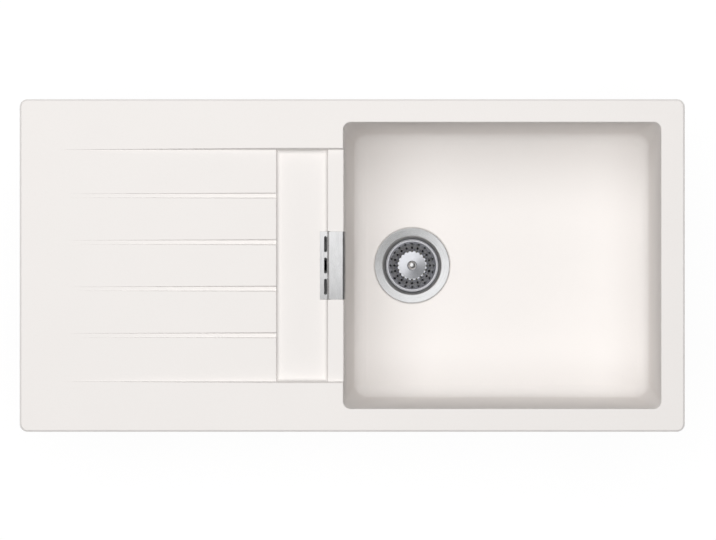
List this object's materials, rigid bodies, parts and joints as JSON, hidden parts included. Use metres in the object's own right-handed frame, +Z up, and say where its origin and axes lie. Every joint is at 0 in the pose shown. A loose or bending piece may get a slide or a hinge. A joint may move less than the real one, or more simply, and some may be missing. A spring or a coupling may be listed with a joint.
{
  "type": "kitchen sink with drainboard",
  "caption": "Inset composite kitchen sink: a deep rectangular bowl with basket strainer waste, a falling grooved drainboard, a cross channel and a covered overflow.",
  "frame": {"origin": "middle of the plan on the worktop surface, where the rim lies", "axes": "+X from the drainboard to the bowl, +Y to the back edge, +Z up"},
  "size_m": [1, 0.5, 0.3035],
  "materials": {
    "composite": "matt off-white quartz composite, fine grain",
    "seal_rubber": "soft black EPDM",
    "stopper_rubber": "black rubber",
    "cover_steel": "stainless sheet, brushed along its length",
    "waste_steel": "stainless, brushed in rings on the flange",
    "basket_steel": "stainless, bright",
    "knob_steel": "polished",
    "screw_steel": "stainless, turned",
    "zinc_steel": "zinc plated",
    "claw_steel": "zinc plated, pressed",
    "spring_steel": "zinc plated spring strip",
    "brass_insert": "turned",
    "grey_plastic": "moulded light grey polypropylene",
    "wing_plastic": "moulded black nylon",
    "hose_plastic": "light grey ribbed hose",
    "nylon": "natural nylon"
  },
  "bodies": {
    "sink": {"body_gasket": "seal_rubber", "clip_dowels": "nylon", "flange_gasket": "seal_rubber", "hose_clamp_lower": "spring_steel", "hose_clamp_upper": "spring_steel", "overflow_cover": "cover_steel", "overflow_gasket": "seal_rubber", "overflow_hose": "hose_plastic", "overflow_housing": "grey_plastic", "overflow_nuts": "wing_plastic", "overflow_studs": "zinc_steel", "rim_seal": "seal_rubber", "sink_body": "composite", "waste_body": "grey_plastic", "waste_cup": "waste_steel", "waste_insert": "brass_insert", "waste_screw": "screw_steel"},
    "clip_screw_1": {"clip_screw_1": "zinc_steel"},
    "clip_screw_2": {"clip_screw_2": "zinc_steel"},
    "clip_screw_3": {"clip_screw_3": "zinc_steel"},
    "clip_screw_4": {"clip_screw_4": "zinc_steel"},
    "clip_screw_5": {"clip_screw_5": "zinc_steel"},
    "clip_screw_6": {"clip_screw_6": "zinc_steel"},
    "clip_screw_7": {"clip_screw_7": "zinc_steel"},
    "clip_screw_8": {"clip_screw_8": "zinc_steel"},
    "clip_claw_1": {"clip_claw_1": "claw_steel"},
    "clip_claw_2": {"clip_claw_2": "claw_steel"},
    "clip_claw_3": {"clip_claw_3": "claw_steel"},
    "clip_claw_4": {"clip_claw_4": "claw_steel"},
    "clip_claw_5": {"clip_claw_5": "claw_steel"},
    "clip_claw_6": {"clip_claw_6": "claw_steel"},
    "clip_claw_7": {"clip_claw_7": "claw_steel"},
    "clip_claw_8": {"clip_claw_8": "claw_steel"},
    "basket": {"basket_strainer": "basket_steel", "post_bush": "nylon"},
    "post": {"post_rod": "screw_steel", "post_knob": "knob_steel", "stopper_disc": "stopper_rubber", "stopper_plate": "nylon", "stopper_nut": "screw_steel"}
  },
  "joints": [
    {"name": "basket_lift", "type": "slide", "parent": "sink", "child": "basket", "axis": [0, 0, 1], "range_m": [0, 0.08]},
    {"name": "post_lift", "type": "slide", "parent": "basket", "child": "post", "axis": [0, 0, 1], "range_m": [0, 0.008]},
    {"name": "clip_screw_1_drive", "type": "slide", "parent": "sink", "child": "clip_screw_1", "axis": [0, 0, 1], "range_m": [0, 0.014]},
    {"name": "clip_claw_1_swing", "type": "hinge", "parent": "clip_screw_1", "child": "clip_claw_1", "pos_m": [-0.37, 0.2295, -0.0585], "axis": [0, 0, 1], "range_deg": [0, 90]},
    {"name": "clip_screw_2_drive", "type": "slide", "parent": "sink", "child": "clip_screw_2", "axis": [0, 0, 1], "range_m": [0, 0.014]},
    {"name": "clip_claw_2_swing", "type": "hinge", "parent": "clip_screw_2", "child": "clip_claw_2", "pos_m": [0, 0.2295, -0.0585], "axis": [0, 0, 1], "range_deg": [0, 90]},
    {"name": "clip_screw_3_drive", "type": "slide", "parent": "sink", "child": "clip_screw_3", "axis": [0, 0, 1], "range_m": [0, 0.014]},
    {"name": "clip_claw_3_swing", "type": "hinge", "parent": "clip_screw_3", "child": "clip_claw_3", "pos_m": [0.37, 0.2295, -0.0585], "axis": [0, 0, 1], "range_deg": [0, 90]},
    {"name": "clip_screw_4_drive", "type": "slide", "parent": "sink", "child": "clip_screw_4", "axis": [0, 0, 1], "range_m": [0, 0.014]},
    {"name": "clip_claw_4_swing", "type": "hinge", "parent": "clip_screw_4", "child": "clip_claw_4", "pos_m": [-0.4795, 0, -0.0585], "axis": [0, 0, 1], "range_deg": [0, 90]},
    {"name": "clip_screw_5_drive", "type": "slide", "parent": "sink", "child": "clip_screw_5", "axis": [0, 0, 1], "range_m": [0, 0.014]},
    {"name": "clip_claw_5_swing", "type": "hinge", "parent": "clip_screw_5", "child": "clip_claw_5", "pos_m": [-0.37, -0.2295, -0.0585], "axis": [0, 0, 1], "range_deg": [0, 90]},
    {"name": "clip_screw_6_drive", "type": "slide", "parent": "sink", "child": "clip_screw_6", "axis": [0, 0, 1], "range_m": [0, 0.014]},
    {"name": "clip_claw_6_swing", "type": "hinge", "parent": "clip_screw_6", "child": "clip_claw_6", "pos_m": [0, -0.2295, -0.0585], "axis": [0, 0, 1], "range_deg": [0, 90]},
    {"name": "clip_screw_7_drive", "type": "slide", "parent": "sink", "child": "clip_screw_7", "axis": [0, 0, 1], "range_m": [0, 0.014]},
    {"name": "clip_claw_7_swing", "type": "hinge", "parent": "clip_screw_7", "child": "clip_claw_7", "pos_m": [0.37, -0.2295, -0.0585], "axis": [0, 0, 1], "range_deg": [0, 90]},
    {"name": "clip_screw_8_drive", "type": "slide", "parent": "sink", "child": "clip_screw_8", "axis": [0, 0, 1], "range_m": [0, 0.014]},
    {"name": "clip_claw_8_swing", "type": "hinge", "parent": "clip_screw_8", "child": "clip_claw_8", "pos_m": [0.4795, 0, -0.0585], "axis": [0, 0, 1], "range_deg": [0, 90]}
  ]
}
